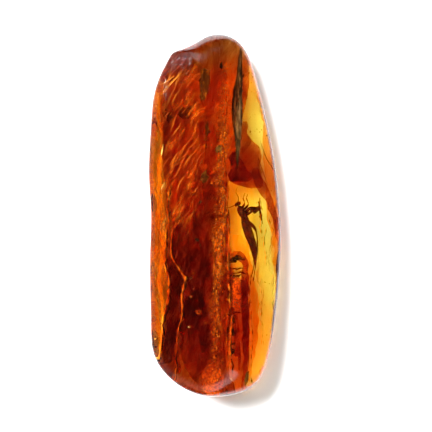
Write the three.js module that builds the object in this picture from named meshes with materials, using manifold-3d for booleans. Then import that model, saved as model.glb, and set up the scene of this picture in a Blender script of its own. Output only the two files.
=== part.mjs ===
// A polished piece of natural amber lying on its flat ground underside.
// Millimetres, +Z up, long axis along Y, widest side across X.
// The piece is one solid lump: an outline ground by hand, two long faces on top that meet
// in a low lengthwise ridge, a small bevel at each end and a flat underside.

import * as THREE from 'three';
import * as BufferGeometryUtils from 'three/addons/utils/BufferGeometryUtils.js';
import Module from 'manifold-3d';

const LENGTH = 60;
const WIDTH = 22;
const RIDGE_HEIGHT = 13.2;
const CORE_HEIGHT = 5.0;

// The ridge between the two top faces runs slightly across the piece.
const RIDGE_AT_MIDDLE = 0.15;
const RIDGE_DRIFT = -0.127;
const LEFT_FACE_TILT = 9;
const RIGHT_FACE_TILT = 32;

// Two small bevels take the corners off the right face at the head and at the foot. Each one
// has a slope across, a slope along, and a point where it leaves the top.
const HEAD_BEVEL_ACROSS = 0.25;
const HEAD_BEVEL_ALONG = 0.62;
const HEAD_BEVEL_POINT = [2.1, 28.4, 10.1];
const FOOT_BEVEL_ACROSS = 0.3;
const FOOT_BEVEL_ALONG = -0.45;
const FOOT_BEVEL_POINT = [3.9, -26.3, 12.8];

// The underside is rounded off towards both long edges, then ground flat.
const UNDER_LEFT_TILT = 28;
const UNDER_RIGHT_TILT = 22;
const UNDER_END_TILT = 17;
const UNDER_EDGE_X = 7.0;
const UNDER_EDGE_Y = 23.0;
const GROUND_OFF = 0.45;

// How crisp the polished edges are: a higher power leaves a sharper edge.
const RIM_POWER = 30;
const FACE_POWER = 42;
const WAVE = 0.06;
const UNDER_WAVE = 0.11;
const UNDER_WAVE_FADE = 2.0;
const SURFACE_DETAIL = 20;

// The surface is modelled more finely along the rims, where it turns, than on the faces.
const RIM_GATHER = 0.15;

// The outline seen from above, clockwise from the tip, as ground on the wheel.
const OUTLINE = [
  [0.6, 30.0],
  [2.3, 29.7],
  [4.2, 28.4],
  [5.4, 26.7],
  [7.2, 21.2],
  [9.0, 13.6],
  [10.4, 5.8],
  [10.95, -1.5],
  [10.8, -8.3],
  [10.4, -14.1],
  [9.2, -22.0],
  [7.7, -26.4],
  [6.1, -28.4],
  [3.8, -29.6],
  [0.6, -30.0],
  [-2.7, -29.5],
  [-5.9, -28.1],
  [-8.4, -26.0],
  [-9.9, -23.8],
  [-10.55, -21.6],
  [-10.75, -16.0],
  [-10.85, -8.0],
  [-10.7, 0.4],
  [-11.0, 6.6],
  [-10.75, 13.4],
  [-10.2, 19.4],
  [-9.1, 22.8],
  [-7.9, 25.2],
  [-7.2, 26.5],
  [-6.4, 26.9],
  [-4.9, 27.45],
  [-3.3, 28.35],
  [-1.9, 29.35],
  [-0.7, 29.9],
];

const wasm = await Module();
wasm.setup();

const radians = THREE.MathUtils.degToRad;
const core = new THREE.Vector3(0, 0, CORE_HEIGHT);

// The outline as a closed curve, kept as bearings round the core and the reach on each.
const outlineCurve = new THREE.CatmullRomCurve3(
  OUTLINE.map(([x, y]) => new THREE.Vector3(x, y, 0)),
  true,
  'centripetal',
);
const bearings = outlineCurve
  .getPoints(720)
  .map((p) => ({ bearing: Math.atan2(p.y, p.x), reach: Math.hypot(p.x, p.y) }))
  .sort((a, b) => a.bearing - b.bearing);

function outlineReach(bearing) {
  let next = bearings.findIndex((b) => b.bearing >= bearing);
  if (next < 0) next = 0;
  const before = bearings[(next + bearings.length - 1) % bearings.length];
  const after = bearings[next];
  const turn = 2 * Math.PI;
  const span = (after.bearing - before.bearing + turn) % turn;
  const part = (bearing - before.bearing + turn) % turn;
  return THREE.MathUtils.lerp(before.reach, after.reach, span > 0 ? part / span : 0);
}

// A ground face: its outward normal and how far it lies from the core.
function face(normal, through) {
  const unit = normal.clone().normalize();
  return { normal: unit, distance: through.clone().sub(core).dot(unit) };
}

const leftSlope = Math.tan(radians(LEFT_FACE_TILT));
const rightSlope = Math.tan(radians(RIGHT_FACE_TILT));
const ridgePoint = new THREE.Vector3(RIDGE_AT_MIDDLE, 0, RIDGE_HEIGHT);

const faces = [
  face(new THREE.Vector3(-leftSlope, leftSlope * RIDGE_DRIFT, 1), ridgePoint),
  face(new THREE.Vector3(rightSlope, -rightSlope * RIDGE_DRIFT, 1), ridgePoint),
  face(
    new THREE.Vector3(HEAD_BEVEL_ACROSS, HEAD_BEVEL_ALONG, 1),
    new THREE.Vector3(...HEAD_BEVEL_POINT),
  ),
  face(
    new THREE.Vector3(FOOT_BEVEL_ACROSS, FOOT_BEVEL_ALONG, 1),
    new THREE.Vector3(...FOOT_BEVEL_POINT),
  ),
  face(
    new THREE.Vector3(-Math.tan(radians(UNDER_LEFT_TILT)), 0, -1),
    new THREE.Vector3(-UNDER_EDGE_X, 0, 0),
  ),
  face(
    new THREE.Vector3(Math.tan(radians(UNDER_RIGHT_TILT)), 0, -1),
    new THREE.Vector3(UNDER_EDGE_X - 2.5, 0, 0),
  ),
  face(
    new THREE.Vector3(0, Math.tan(radians(UNDER_END_TILT)), -1),
    new THREE.Vector3(0, UNDER_EDGE_Y, 0),
  ),
  face(
    new THREE.Vector3(0, -Math.tan(radians(UNDER_END_TILT)), -1),
    new THREE.Vector3(0, -UNDER_EDGE_Y, 0),
  ),
  face(new THREE.Vector3(0, 0, -1), new THREE.Vector3(0, 0, -GROUND_OFF)),
];

// How far the polished surface lies from the core along one direction.
function surfaceReach(direction) {
  const flat = Math.hypot(direction.x, direction.y);
  const wall = flat / outlineReach(Math.atan2(direction.y, direction.x));
  let ground = 0;
  for (const { normal, distance } of faces) {
    ground += Math.max(0, direction.dot(normal) / distance) ** FACE_POWER;
  }
  const faced = ground ** (RIM_POWER / FACE_POWER);
  return (wall ** RIM_POWER + faced) ** (-1 / RIM_POWER);
}

// Hand polishing leaves the faces very slightly wavy. The underside was only rounded off, and
// keeps more of the unevenness that the lump was found with.
function polishWave(p) {
  const along = Math.sin(0.31 * p.y + 0.6) * Math.cos(0.42 * p.x - 0.4);
  const across = Math.sin(0.83 * p.x + 0.37 * p.y + 1.3);
  const found = Math.sin(0.53 * p.y + 0.9 * p.x) + Math.sin(0.29 * p.y - 0.7 * p.x + 2);
  const below = THREE.MathUtils.clamp(-p.z / UNDER_WAVE_FADE, 0, 1);
  return WAVE * (along + 0.5 * across) + UNDER_WAVE * below * found;
}

function polishedLump() {
  const ball = new THREE.IcosahedronGeometry(1, SURFACE_DETAIL);
  ball.deleteAttribute('normal');
  ball.deleteAttribute('uv');
  const lump = BufferGeometryUtils.mergeVertices(ball, 1e-5);
  const points = lump.getAttribute('position');
  const p = new THREE.Vector3();
  for (let i = 0; i < points.count; i += 1) {
    p.fromBufferAttribute(points, i);
    const latitude = Math.asin(THREE.MathUtils.clamp(p.z, -1, 1));
    const gathered = latitude + RIM_GATHER * Math.sin(4 * latitude);
    const bearing = Math.atan2(p.y, p.x);
    p.set(Math.cos(gathered) * Math.cos(bearing), Math.cos(gathered) * Math.sin(bearing), 0);
    p.setZ(Math.sin(gathered));
    p.multiply(new THREE.Vector3(WIDTH / 2, LENGTH / 2, RIDGE_HEIGHT / 2)).normalize();
    p.multiplyScalar(surfaceReach(p));
    p.multiplyScalar(1 + polishWave(p) / p.length());
    points.setXYZ(i, p.x, p.y, p.z + CORE_HEIGHT);
  }
  return lump;
}

function toSolid(geometry) {
  return new wasm.Manifold(
    new wasm.Mesh({
      numProp: 3,
      vertProperties: new Float32Array(geometry.getAttribute('position').array),
      triVerts: new Uint32Array(geometry.getIndex().array),
    }),
  );
}

function toGeometry(solid) {
  const mesh = solid.getMesh();
  const geometry = new THREE.BufferGeometry();
  geometry.setAttribute('position', new THREE.BufferAttribute(mesh.vertProperties, 3));
  geometry.setIndex(new THREE.BufferAttribute(mesh.triVerts, 1));
  return geometry;
}

// The lapping plate takes off everything below the resting level.
function groundFlat(geometry) {
  const plate = new THREE.BoxGeometry(2 * WIDTH, 2 * LENGTH, RIDGE_HEIGHT);
  plate.translate(0, 0, -RIDGE_HEIGHT / 2);
  plate.deleteAttribute('normal');
  plate.deleteAttribute('uv');
  const cutter = toSolid(BufferGeometryUtils.mergeVertices(plate, 1e-5));
  return toGeometry(toSolid(geometry).subtract(cutter));
}

// Brought to the exact length and width, centred over the origin and standing on Z = 0.
function trimmedToSize(geometry) {
  geometry.computeBoundingBox();
  const size = geometry.boundingBox.getSize(new THREE.Vector3());
  const middle = geometry.boundingBox.getCenter(new THREE.Vector3());
  geometry.translate(-middle.x, -middle.y, -geometry.boundingBox.min.z);
  geometry.scale(WIDTH / size.x, LENGTH / size.y, 1);
  return geometry;
}

const amberGeometry = trimmedToSize(groundFlat(polishedLump()));
amberGeometry.computeVertexNormals();

const amberMaterial = new THREE.MeshStandardMaterial({
  color: '#b3480f',
  roughness: 0.07,
  metalness: 0,
});

const amber = new THREE.Mesh(amberGeometry, amberMaterial);
amber.name = 'amber';

const insectInAmber = new THREE.Group();
insectInAmber.name = 'insect_in_amber';
insectInAmber.add(amber);

export default insectInAmber;
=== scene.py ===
import math
import random

import bmesh
import bpy
from mathutils import Matrix, Vector, noise
from mathutils.bvhtree import BVHTree


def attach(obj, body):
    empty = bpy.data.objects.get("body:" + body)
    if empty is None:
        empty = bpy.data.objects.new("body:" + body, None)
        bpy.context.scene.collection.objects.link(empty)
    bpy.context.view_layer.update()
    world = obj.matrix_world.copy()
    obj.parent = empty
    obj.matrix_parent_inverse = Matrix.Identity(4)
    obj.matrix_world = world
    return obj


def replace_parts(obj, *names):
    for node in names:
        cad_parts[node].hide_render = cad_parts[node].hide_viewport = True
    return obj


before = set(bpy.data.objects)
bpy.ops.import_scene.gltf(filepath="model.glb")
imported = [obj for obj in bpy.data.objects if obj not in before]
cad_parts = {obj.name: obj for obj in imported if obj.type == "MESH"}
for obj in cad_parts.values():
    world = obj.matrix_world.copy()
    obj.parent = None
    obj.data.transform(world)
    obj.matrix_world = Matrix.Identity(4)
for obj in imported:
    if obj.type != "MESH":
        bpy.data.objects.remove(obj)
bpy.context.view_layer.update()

# ---- the amber lump
# One solid lump of fossil resin, ground and polished by hand: yellow where it is thin and
# orange where it is thick. Its surface follows the ground solid, softened by the polish.

MM = 0.001
AMBER_IOR = 1.54
POLISH_GRAIN = 0.22 * MM
POLISH_PASSES = 4


def finished(bm, name, smooth=True):
    """Turns a bmesh into an object that sits at the origin."""
    mesh = bpy.data.meshes.new(name)
    for f in bm.faces:
        f.smooth = smooth
    bm.to_mesh(mesh)
    bm.free()
    piece = bpy.data.objects.new(name, mesh)
    bpy.context.scene.collection.objects.link(piece)
    return piece


def tree_of(obj):
    """A search tree of an object's surface, to find how deep a point lies."""
    bm = bmesh.new()
    bm.from_mesh(obj.data)
    bmesh.ops.remove_doubles(bm, verts=bm.verts, dist=1e-6)
    tree = BVHTree.FromBMesh(bm)
    bm.free()
    return tree


def new_material(name):
    """A node material, with its tree, its Principled shader and its output."""
    mat = bpy.data.materials.new(name)
    mat.use_nodes = True
    nodes = mat.node_tree.nodes
    return mat, mat.node_tree, nodes["Principled BSDF"], nodes["Material Output"]


def fill(tree, node, feeds):
    """Fills a node's inputs, each with a value or with what feeds it."""
    for socket, value in feeds.items():
        if isinstance(value, bpy.types.NodeSocket):
            tree.links.new(value, node.inputs[socket])
        else:
            node.inputs[socket].default_value = value


def step(tree, kind, feeds, operation=None):
    """Adds one step to a material, with its inputs filled."""
    node = tree.nodes.new("ShaderNode" + kind)
    if operation:
        node.operation = operation
    fill(tree, node, feeds)
    return node


def on_the_piece(tree):
    """Where a point lies on the piece itself."""
    return tree.nodes.new("ShaderNodeTexCoord").outputs["Object"]


def mottling(tree, scale, detail, where=None, roughness=0.5):
    """Soft noise that runs through a piece."""
    where = where or on_the_piece(tree)
    feeds = {"Vector": where, "Scale": scale, "Detail": detail, "Roughness": roughness}
    return step(tree, "TexNoise", feeds).outputs["Fac"]


def ranged(tree, value, start=0.0, stop=1.0, low=0.0, high=1.0, soft=False):
    """Turns the stretch from start to stop into low to high, and holds it beyond its ends."""
    feeds = {"Value": value, "From Min": start, "From Max": stop, "To Min": low, "To Max": high}
    node = step(tree, "MapRange", feeds)
    if soft:
        node.interpolation_type = "SMOOTHSTEP"
    return node.outputs["Result"]


def raised(tree, height, strength, distance):
    """A surface raised by a pattern, as the normal it gives. distance is in metres."""
    feeds = {"Height": height, "Strength": strength, "Distance": distance}
    return step(tree, "Bump", feeds).outputs["Normal"]


def clear_resin(name, colour, density, ior, roughness=0.0):
    """Clear resin: light passes straight in and is dyed by how far it goes."""
    mat, tree, shader, output = new_material(name)
    fill(tree, shader, {
        "Base Color": (1.0, 1.0, 1.0, 1.0),
        "Roughness": roughness,
        "IOR": ior,
        "Transmission Weight": 1.0,
    })
    if density > 0:
        absorb = step(tree, "VolumeAbsorption", {"Color": (*colour, 1.0), "Density": density})
        tree.links.new(absorb.outputs[0], output.inputs["Volume"])
    return mat, tree, shader


def sealed(piece, material):
    """Gives a finished piece its material and fixes it in the lump."""
    piece.data.materials.append(material)
    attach(piece, "root")
    return piece


def seal_up(bm, name, material):
    """Turns every face outwards, then makes the piece and seals it in the lump."""
    bmesh.ops.recalc_face_normals(bm, faces=bm.faces)
    sealed(finished(bm, name), material)


bm = bmesh.new()
bm.from_mesh(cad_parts["amber"].data)
bmesh.ops.remove_doubles(bm, verts=bm.verts, dist=1e-6)
ground = finished(bm, "amber_ground")
regrained = ground.modifiers.new("regrain", "REMESH")
regrained.mode = "VOXEL"
regrained.voxel_size = POLISH_GRAIN
bpy.context.view_layer.update()
bm = bmesh.new()
bm.from_object(ground, bpy.context.evaluated_depsgraph_get())
ground_surface = tree_of(ground)
bpy.data.objects.remove(ground)
for v in bm.verts:
    v.co = ground_surface.find_nearest(v.co)[0]
for _ in range(POLISH_PASSES):
    bmesh.ops.smooth_vert(
        bm, verts=bm.verts, factor=0.5, use_axis_x=True, use_axis_y=True, use_axis_z=True
    )
amber = finished(bm, "amber_lump")

amber_mat, amber_tree, amber_shader = clear_resin(
    "polished_amber", colour=(0.995, 0.93, 0.0), density=150.0, ior=AMBER_IOR
)
RUB_SCALE = 420.0
HAZE = 0.035
RUB_DEEP = 0.04 * MM
rub = mottling(amber_tree, RUB_SCALE, 3.0)
fill(amber_tree, amber_shader, {
    "Roughness": ranged(amber_tree, rub, 0.35, 0.75, 0.0, HAZE),
    "Normal": raised(amber_tree, rub, 0.5, RUB_DEEP),
})
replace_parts(sealed(amber, amber_mat), "amber")

# ---- the older, darker resin
# Earlier flows that had already turned dark red when the clear resin ran over them. They are
# soft-edged bodies inside the lump, with no gap round them, so light isn't bent at their skin.
# Their skins carry the streaks and curls of the old flow.

polished_surface = tree_of(amber)
ABOVE = 20.0 * MM
SKIN = 0.4 * MM
RIDGE_MIDDLE = 0.15
RIDGE_DRIFT = -0.127
LEFT_BEND = 0.05
RIGHT_BEND = -0.21
PULL = 0.985
PULLS = 30


def lump_depth(x, y):
    """The heights of the lump's underside and top at a place, a skin's width inside it."""
    top = polished_surface.ray_cast(Vector((x, y, ABOVE)), Vector((0, 0, -1)))[0]
    low = polished_surface.ray_cast(Vector((x, y, -ABOVE)), Vector((0, 0, 1)))[0]
    if top is None or top.z - low.z < 2.5 * SKIN:
        return None
    return low.z + SKIN, top.z - SKIN


def within(x, y, share):
    """Where a sealed thing lies to show at x, y, in millimetres, from above. The top faces
    bend the view sideways, so the deeper it lies the further it stands off. share is how high
    it lies: 0 at the underside and 1 at the top. Places off the lump are pulled in to its edge."""
    for _ in range(PULLS):
        here = lump_depth(x * MM, y * MM)
        if here is not None:
            below = (1.0 - share) * (here[1] - here[0])
            side = (x - RIDGE_MIDDLE - RIDGE_DRIFT * y + 3.0) / 6.0
            side = min(max(side, 0.0), 1.0)
            side = side * side * (3 - 2 * side)
            bend = LEFT_BEND + (RIGHT_BEND - LEFT_BEND) * side
            spot = Vector((x * MM + bend * below, y * MM, here[1] - below))
            there = lump_depth(spot.x, spot.y)
            if there is not None:
                spot.z = min(max(spot.z, there[0]), there[1])
                return spot
        x, y = x * PULL, y * PULL


def along(rows, t):
    """A smooth curve through given rows that start with where they are, read at t."""
    if t <= rows[0][0]:
        return list(rows[0][1:])
    if t >= rows[-1][0]:
        return list(rows[-1][1:])
    i = max(k for k in range(len(rows) - 1) if rows[k][0] <= t)
    a, b = rows[i], rows[i + 1]
    before, after = rows[max(i - 1, 0)], rows[min(i + 2, len(rows) - 1)]
    gap = b[0] - a[0]
    s = (t - a[0]) / gap
    out = []
    for k in range(1, len(a)):
        start_slope = (b[k] - before[k]) / (b[0] - before[0]) * gap
        end_slope = (after[k] - a[k]) / (after[0] - a[0]) * gap
        out.append(
            (2 * s**3 - 3 * s**2 + 1) * a[k]
            + (s**3 - 2 * s**2 + s) * start_slope
            + (3 * s**2 - 2 * s**3) * b[k]
            + (s**3 - s**2) * end_slope
        )
    return out


def buried(
    name, material, rows,
    wall=6.0, tip=5.0, ripple=0.4, wander=0.15, across=26, down=90, seed=0.0,
):
    """A closed body of resin, sealed in. rows run from foot to head, in millimetres: y, left x,
    right x, and the shares of the lump's depth that its underside and top reach."""
    foot, head = rows[0][0], rows[-1][0]
    bm = bmesh.new()
    fade = bm.verts.layers.float.new("fade")
    for side in (-1.0, 1.0):
        made = bmesh.ops.create_grid(bm, x_segments=across, y_segments=down, size=1.0)
        for v in made["verts"]:
            wide = math.sin(v.co.x * math.pi / 2)
            long = math.sin(v.co.y * math.pi / 2)
            y = foot + (head - foot) * (0.5 + 0.5 * long)
            left, right, low, high = along(rows, y)
            ends = max(0.0, 1.0 - abs(long) ** tip) ** (1.0 / tip)
            x = (left + right) / 2 + wide * (right - left) / 2 * (0.3 + 0.7 * ends)
            x += wander * noise.noise(Vector((seed, y * 0.7, wide)))
            swell = ends * max(0.0, 1.0 - abs(wide) ** wall) ** (1.0 / wall)
            share = (low + high) / 2 + side * (high - low) / 2 * swell
            v.co = within(x, y, share)
            v.co.z += ripple * MM * swell * noise.noise(Vector((x * 0.5, y * 0.3, seed + side)))
            v[fade] = (1.0 - abs(wide) ** 3) * (1.0 - abs(long) ** 6)
    bmesh.ops.remove_doubles(bm, verts=bm.verts, dist=3e-6)
    seal_up(bm, name, material)


CURL_SCALE = 160.0
CURL_REACH = 4.0 * MM


def flow_marks_group():
    """Streaks and curls drawn out along a flow: long soft noise, bent by a slower one."""
    group = bpy.data.node_groups.new("flow_marks", "ShaderNodeTree")
    for socket in ("Turn", "Across", "Along", "Curl", "From", "To"):
        group.interface.new_socket(socket, in_out="INPUT", socket_type="NodeSocketFloat")
    group.interface.new_socket("Mask", in_out="OUTPUT", socket_type="NodeSocketFloat")
    given = group.nodes.new("NodeGroupInput").outputs
    out = group.nodes.new("NodeGroupOutput")
    place = on_the_piece(group)
    slow = step(group, "TexNoise", {"Vector": place, "Scale": CURL_SCALE, "Detail": 2.0})
    centred = step(group, "VectorMath", {0: slow.outputs["Color"], 1: (0.5, 0.5, 0.5)}, "SUBTRACT")
    reach = step(group, "Math", {0: given["Curl"], 1: CURL_REACH}, "MULTIPLY")
    pushed = step(group, "VectorMath", {0: centred.outputs[0], "Scale": reach.outputs[0]}, "SCALE")
    moved = step(group, "VectorMath", {0: place, 1: pushed.outputs[0]}, "ADD")
    turned = step(group, "VectorRotate", {"Vector": moved.outputs[0], "Angle": given["Turn"]})
    turned.rotation_type = "Z_AXIS"
    along_flow = given["Along"]
    stretch = step(group, "CombineXYZ", {"X": given["Across"], "Y": along_flow, "Z": along_flow})
    scaled = step(group, "VectorMath", {0: turned.outputs[0], 1: stretch.outputs[0]}, "MULTIPLY")
    fine = mottling(group, 1.0, 5.0, scaled.outputs[0], 0.62)
    mask = ranged(group, fine, given["From"], given["To"], soft=True)
    group.links.new(mask, out.inputs["Mask"])
    return group


flow_marks = flow_marks_group()


def marks(tree, turn, across, along_flow, curl=1.0, start=0.45, stop=0.65):
    """Places the flow marks in a material and returns their mask."""
    node = tree.nodes.new("ShaderNodeGroup")
    node.node_tree = flow_marks
    fill(tree, node, {
        "Turn": math.radians(turn), "Across": across, "Along": along_flow, "Curl": curl,
        "From": start, "To": stop,
    })
    return node.outputs["Mask"]


def blended(tree, mask, plain, marked):
    """Mixes two colours, or what feeds them, by a mask."""
    mix = tree.nodes.new("ShaderNodeMix")
    mix.data_type = "RGBA"
    tree.links.new(mask, mix.inputs[0])
    colours = [s for s in mix.inputs if s.type == "RGBA"]
    for socket, value in zip(colours, (plain, marked)):
        if isinstance(value, tuple):
            socket.default_value = (*value, 1.0)
        else:
            tree.links.new(value, socket)
    return next(s for s in mix.outputs if s.type == "RGBA")


def old_resin(name, colour, density, light, dark, **flow):
    """Dark resin with streaks in its skin: light ones where the flow stayed clear."""
    mat, tree, shader = clear_resin(name, colour, density, ior=1.0)
    first = marks(tree, **flow)
    flow["turn"] += 9.0
    flow["across"] *= 0.45
    second = marks(tree, **flow)
    base = blended(tree, second, blended(tree, first, dark, light), light)
    tree.links.new(base, shader.inputs["Base Color"])
    return mat


main_mat = old_resin(
    "old_red_resin",
    colour=(0.84, 0.49, 0.2), density=285.0, light=(1.0, 0.9, 0.75), dark=(0.5, 0.24, 0.14),
    turn=14.0, across=760.0, along_flow=110.0,
)
buried(
    "old_resin_main", main_mat,
    [
        (-29.6, -3.4, 3.2, 0.05, 0.92), (-28.6, -5.6, 2.9, 0.0, 0.94),
        (-26.0, -8.3, 2.5, 0.0, 0.94), (-22.0, -8.9, 2.4, 0.0, 0.88), (-17.0, -8.4, 2.5, 0.0, 0.85),
        (-14.0, -7.9, 2.3, 0.0, 0.82), (-10.5, -7.6, 2.8, 0.0, 0.8), (-8.6, -8.0, 2.0, 0.0, 0.8),
        (-6.6, -8.1, 2.2, 0.0, 0.8), (-4.6, -8.0, 1.6, 0.0, 0.8), (-2.4, -7.9, 1.9, 0.0, 0.8),
        (-0.6, -7.9, 2.1, 0.0, 0.8), (1.2, -8.0, 1.6, 0.0, 0.8), (3.4, -8.2, 2.0, 0.0, 0.8),
        (5.2, -8.4, 2.1, 0.0, 0.8), (8.0, -8.7, 2.8, 0.0, 0.8), (14.0, -8.8, 4.0, 0.0, 0.82),
        (18.0, -9.1, 4.9, 0.0, 0.84), (22.0, -9.0, 5.6, 0.0, 0.9), (25.0, -8.0, 5.2, 0.0, 0.93),
        (27.6, -4.6, 4.2, 0.0, 0.95), (29.4, -1.4, 2.4, 0.1, 0.95),
    ],
    wall=9.0, tip=9.0,
)

# ---- the left rind
# A clearer orange layer down the left edge, outside the dark flow, with fine streaks along
# it. It is one closed body of old resin, sealed in like the dark flow beside it.

rind_mat = old_resin(
    "left_rind_resin",
    colour=(0.95, 0.62, 0.1), density=240.0, light=(1.0, 0.93, 0.7), dark=(0.8, 0.45, 0.2),
    turn=-4.0, across=900.0, along_flow=90.0,
)
buried(
    "left_rind", rind_mat,
    [
        (-26.2, -8.6, -5.0, 0.1, 0.9), (-22.0, -10.4, -6.0, 0.05, 0.85),
        (-12.0, -10.6, -6.0, 0.05, 0.9), (0.0, -10.5, -6.0, 0.0, 0.9),
        (8.0, -10.7, -6.0, 0.1, 0.85), (16.0, -10.3, -6.0, 0.1, 0.9), (21.0, -9.4, -6.0, 0.15, 0.9),
        (26.0, -7.0, -4.0, 0.2, 0.9),
    ],
    wall=5.0, seed=21.0, across=18, down=80,
)

# ---- the old flow at the lower right
# The dark red resin to the right of the ridge, below the stacked layers: one closed body,
# sealed in, a little clearer than the main flow.

side_mat = old_resin(
    "old_side_resin",
    colour=(0.90, 0.50, 0.2), density=270.0, light=(1.0, 0.92, 0.8), dark=(0.68, 0.36, 0.2),
    turn=2.0, across=700.0, along_flow=60.0,
)
buried(
    "old_resin_side", side_mat,
    [
        (-28.8, 2.6, 4.4, 0.1, 0.8), (-26.0, 2.5, 4.9, 0.0, 0.85), (-22.0, 2.5, 5.4, 0.0, 0.9),
        (-14.0, 2.4, 5.7, 0.0, 0.9), (-11.6, 2.4, 5.6, 0.05, 0.85), (-10.6, 2.4, 5.4, 0.3, 0.6),
    ],
    seed=4.0, across=16, down=60,
)

# ---- the honey window
# The clear window beside the ridge, where light comes through almost undimmed: pale honey
# resin with faint streaks, sealed between the dark flow and the yellow side.

honey_mat = old_resin(
    "honey_resin",
    colour=(0.99, 0.85, 0.8), density=150.0, light=(1.0, 1.0, 1.0), dark=(1.0, 0.86, 0.6),
    turn=-6.0, across=500.0, along_flow=90.0, start=0.38, stop=0.52,
)
buried(
    "honey_window", honey_mat,
    [
        (-7.2, 2.3, 5.4, 0.2, 0.8), (-6.0, 2.0, 5.9, 0.0, 0.9), (-2.0, 1.9, 5.6, 0.0, 0.9),
        (2.0, 2.2, 6.2, 0.0, 0.9), (5.0, 2.0, 7.0, 0.0, 0.9), (7.5, 3.0, 7.4, 0.1, 0.8),
        (9.5, 4.0, 7.0, 0.3, 0.6),
    ],
    wander=0.45, seed=31.0,
)

# ---- the orange strip and the edge patches
# A clear orange strip between the dark flow and the yellow side, and patches of the same
# resin at the right edge beside the insect. They are closed bodies, sealed in.

strip_mat = old_resin(
    "orange_resin",
    colour=(0.95, 0.60, 0.25), density=200.0, light=(1.0, 0.96, 0.85), dark=(0.93, 0.62, 0.3),
    turn=3.0, across=800.0, along_flow=70.0,
)
buried(
    "orange_strip", strip_mat,
    [
        (-26.8, 5.2, 5.8, 0.1, 0.6), (-24.0, 5.3, 6.3, 0.1, 0.6), (-21.4, 5.4, 6.9, 0.0, 0.7),
        (-19.0, 5.4, 7.0, 0.0, 0.7), (-15.0, 5.5, 7.1, 0.0, 0.7), (-12.0, 5.3, 6.6, 0.0, 0.7),
        (-9.0, 4.7, 6.0, 0.1, 0.6), (-6.4, 3.4, 5.6, 0.2, 0.6), (-4.6, 2.6, 5.4, 0.3, 0.5),
        (-3.6, 2.4, 4.6, 0.35, 0.45),
    ],
    wander=0.35, seed=37.0, across=14, down=60,
)
buried(
    "right_edge_patches", strip_mat,
    [
        (-9.4, 10.1, 10.7, 0.2, 0.6), (-8.0, 9.5, 10.8, 0.1, 0.8), (-6.2, 9.9, 10.8, 0.1, 0.8),
        (-4.4, 9.1, 10.9, 0.1, 0.8), (-2.2, 9.2, 10.9, 0.1, 0.8), (-0.6, 9.9, 10.9, 0.1, 0.8),
        (1.0, 9.5, 10.7, 0.2, 0.7), (2.4, 9.8, 10.4, 0.3, 0.6),
    ],
    wander=0.5, seed=41.0, across=14, down=50,
)

# ---- the right rind
# A thin brown-orange skin of weathered resin just inside the right edge: one long narrow
# body that follows the outline and dies out towards both ends.

rim_mat = old_resin(
    "right_rind_resin",
    colour=(0.96, 0.62, 0.3), density=280.0, light=(1.0, 0.95, 0.8), dark=(0.9, 0.6, 0.35),
    turn=2.0, across=700.0, along_flow=50.0,
)
buried(
    "right_rind", rim_mat,
    [
        (-26.4, 6.6, 7.0, 0.2, 0.8), (-24.7, 7.6, 8.2, 0.1, 0.85), (-22.0, 8.6, 9.3, 0.05, 0.9),
        (-16.7, 9.5, 10.4, 0.0, 0.9), (-11.4, 9.8, 10.8, 0.0, 0.9), (-6.0, 9.1, 10.9, 0.0, 0.9),
        (-3.4, 9.3, 11.0, 0.0, 0.9), (-0.8, 8.5, 11.0, 0.0, 0.9), (4.5, 8.3, 10.7, 0.0, 0.9),
        (9.8, 7.9, 9.9, 0.0, 0.9), (15.1, 7.7, 8.8, 0.1, 0.9), (20.4, 6.6, 7.5, 0.1, 0.85),
        (25.0, 5.4, 6.3, 0.2, 0.8),
    ],
    wall=5.0, wander=0.4, seed=23.0, across=16, down=80,
)

# ---- the dark fold across the right side
# The darkest resin, folded over itself above the window: a block under the splinter, a
# darker heart in it, and a band that runs off to the right edge. All are closed bodies.

fold_mat = old_resin(
    "dark_fold_resin",
    colour=(0.78, 0.36, 0.2), density=430.0, light=(0.9, 0.7, 0.5), dark=(0.55, 0.3, 0.2),
    turn=30.0, across=700.0, along_flow=150.0,
)
buried(
    "dark_fold_block", fold_mat,
    [
        (4.3, 5.2, 7.6, 0.3, 0.7), (5.0, 2.6, 7.7, 0.25, 0.8), (5.9, 2.2, 7.8, 0.2, 0.85),
        (7.4, 2.5, 7.2, 0.2, 0.85), (9.4, 2.3, 7.6, 0.2, 0.8), (11.2, 3.4, 7.2, 0.25, 0.7),
        (12.8, 4.0, 5.6, 0.3, 0.6), (15.4, 4.5, 5.3, 0.4, 0.5),
    ],
    wander=0.5, tip=12.0, seed=9.0, across=24, down=60,
)
buried(
    "dark_fold_heart", fold_mat,
    [
        (5.3, 2.2, 5.7, 0.3, 0.7), (6.2, 2.1, 6.0, 0.3, 0.75), (7.4, 2.4, 5.2, 0.3, 0.75),
        (8.8, 2.4, 4.4, 0.35, 0.7), (10.2, 2.7, 3.6, 0.4, 0.6),
    ],
    wander=0.5, tip=12.0, seed=11.0, across=18, down=40,
)
buried(
    "dark_fold_band", fold_mat,
    [
        (-5.6, 10.2, 10.5, 0.3, 0.6), (-3.4, 9.9, 10.5, 0.2, 0.8), (-1.0, 9.4, 10.2, 0.2, 0.8),
        (1.4, 8.6, 9.7, 0.2, 0.8), (3.6, 7.2, 9.1, 0.2, 0.8), (5.6, 6.2, 8.0, 0.2, 0.8),
        (7.6, 5.8, 7.6, 0.3, 0.7),
    ],
    wander=0.4, seed=13.0, across=16, down=60,
)

# ---- the dark wavy form
# A purplish dark body low on the left, with wavy sides that two bright splits run along.
# It is old resin that twisted as it flowed, sealed in.

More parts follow.
